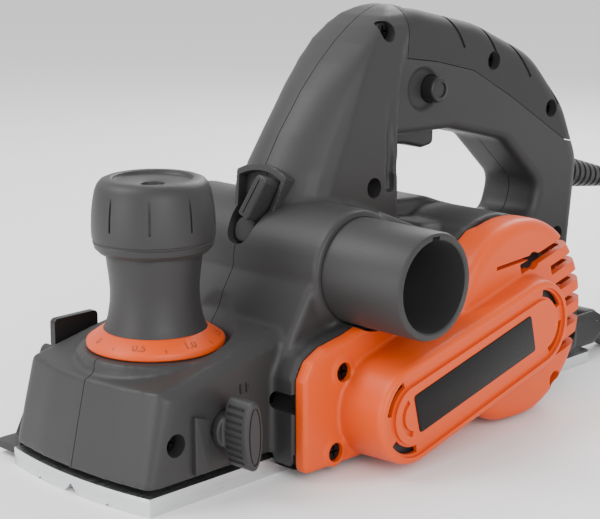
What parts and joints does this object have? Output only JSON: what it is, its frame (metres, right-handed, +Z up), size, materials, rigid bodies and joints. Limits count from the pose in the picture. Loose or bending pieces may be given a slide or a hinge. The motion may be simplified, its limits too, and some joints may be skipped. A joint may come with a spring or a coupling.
{
  "type": "electric hand planer",
  "caption": "Electric hand planer with a depth knob in front, a closed D handle, a belt cover and dust tube on one side, and a rebate stop on the other.",
  "frame": {"origin": "on the sole plane, in the middle of the rear shoe's edge at the mouth", "axes": "+X forward to the depth knob, +Y to the belt cover, +Z up; the sole is the XY plane"},
  "size_m": [0.4354, 0.1709, 0.1753],
  "materials": {
    "housing_plastic": "fine moulded texture",
    "grip_rubber": "soft overmould",
    "orange_plastic": "semi matt moulded",
    "black_plastic": "matt",
    "cast_aluminium": "machined",
    "bright_steel": "ground",
    "black_screw": "black oxide",
    "motor_iron": "lacquered laminations",
    "commutator_copper": "turned copper",
    "carbon": "pressed carbon",
    "fan_plastic": "moulded",
    "belt_rubber": "ribbed",
    "cord_rubber": "smooth",
    "stop_steel": "black painted"
  },
  "bodies": {
    "housing": {"housing_left": "housing_plastic", "housing_right": "housing_plastic", "soft_grip": "grip_rubber", "housing_screws": "black_screw", "rear_shoe": "cast_aluminium", "shoe_screws": "black_screw", "belt_cover": "orange_plastic", "cover_badge": "black_plastic", "cover_screws": "black_screw", "dust_tube": "housing_plastic", "drum_bearings": "bright_steel", "drive_belt": "belt_rubber", "field": "motor_iron", "motor_bearings": "bright_steel", "brush_holders": "black_plastic", "carbon_brushes": "carbon", "switch": "black_plastic", "trigger_pin": "bright_steel", "trigger_spring": "bright_steel", "shoe_spring": "bright_steel", "foot_pin": "bright_steel", "cord_guard": "cord_rubber", "cord": "cord_rubber", "cord_coil": "cord_rubber", "plug": "black_plastic", "plug_pins": "bright_steel"},
    "front_shoe": {"front_shoe": "cast_aluminium"},
    "depth_knob": {"depth_spindle": "bright_steel", "scale_ring": "orange_plastic", "knob_neck": "housing_plastic", "knob_cap": "housing_plastic", "knob_screw": "bright_steel", "spindle_clip": "bright_steel"},
    "cutter": {"cutter_drum": "cast_aluminium", "blades": "bright_steel", "blade_clamps": "cast_aluminium", "clamp_screws": "bright_steel", "drum_shaft": "bright_steel", "drum_pulley": "fan_plastic", "pulley_nut": "bright_steel"},
    "armature": {"motor_shaft": "bright_steel", "armature": "motor_iron", "commutator": "commutator_copper", "fan": "fan_plastic", "motor_pulley": "fan_plastic"},
    "trigger": {"trigger": "black_plastic"},
    "lock_button": {"lock_button": "black_plastic"},
    "chip_lever": {"chip_lever": "housing_plastic", "chip_flap": "housing_plastic"},
    "fence_knob": {"fence_knob": "housing_plastic", "fence_stud": "bright_steel"},
    "rebate_stop": {"rebate_stop": "stop_steel"},
    "stop_knob": {"stop_knob": "housing_plastic", "stop_stud": "bright_steel"},
    "park_foot": {"park_foot": "housing_plastic"}
  },
  "joints": [
    {"name": "depth_knob_turn", "type": "hinge", "parent": "housing", "child": "depth_knob", "pos_m": [0.0735, 0, 0.08], "axis": [0, 0, -1], "range_deg": [0, 192.5]},
    {"name": "front_shoe_lift", "type": "slide", "parent": "housing", "child": "front_shoe", "axis": [0, 0, 1], "range_m": [0, 0.002], "deforming": ["shoe_spring"]},
    {"name": "cutter_spin", "type": "hinge", "parent": "housing", "child": "cutter", "pos_m": [0.01, 0, 0.024], "axis": [0, -1, 0], "continuous": true},
    {"name": "armature_spin", "type": "hinge", "parent": "housing", "child": "armature", "pos_m": [-0.0703, 0, 0.0437], "axis": [0, -1, 0], "continuous": true},
    {"name": "trigger_pull", "type": "hinge", "parent": "housing", "child": "trigger", "pos_m": [-0.05, 0, 0.127], "axis": [0, 1, 0], "range_deg": [0, 8], "stiffness_Nm_per_rad": 0.5, "springref_deg": -11.46, "deforming": ["trigger_spring"]},
    {"name": "lock_press", "type": "slide", "parent": "housing", "child": "lock_button", "axis": [0, -1, 0], "range_m": [0, 0.004], "stiffness_N_per_m": 400, "springref_m": -0.002},
    {"name": "chip_lever_turn", "type": "hinge", "parent": "housing", "child": "chip_lever", "pos_m": [0.0222, 0, 0.087], "axis": [0.9511, 0, 0.309], "range_deg": [0, 40]},
    {"name": "fence_knob_turn", "type": "hinge", "parent": "housing", "child": "fence_knob", "pos_m": [0.0755, 0.05, 0.0257], "axis": [0, 1, 0], "continuous": true},
    {"name": "rebate_stop_slide", "type": "slide", "parent": "housing", "child": "rebate_stop", "axis": [0, 0, 1], "range_m": [0, 0.014]},
    {"name": "stop_knob_turn", "type": "hinge", "parent": "housing", "child": "stop_knob", "pos_m": [0.082, -0.05, 0.026], "axis": [0, -1, 0], "continuous": true},
    {"name": "park_foot_swing", "type": "hinge", "parent": "housing", "child": "park_foot", "pos_m": [-0.172, 0.03, 0.016], "axis": [0, -1, 0], "range_deg": [0, 50], "stiffness_Nm_per_rad": 0.01, "springref_deg": 51.57}
  ],
  "couplings": [
    {"joint": "depth_knob_turn", "follows": "front_shoe_lift", "rad_per_m": 1675.5},
    {"joint": "armature_spin", "follows": "cutter_spin", "ratio": 1.1667}
  ]
}
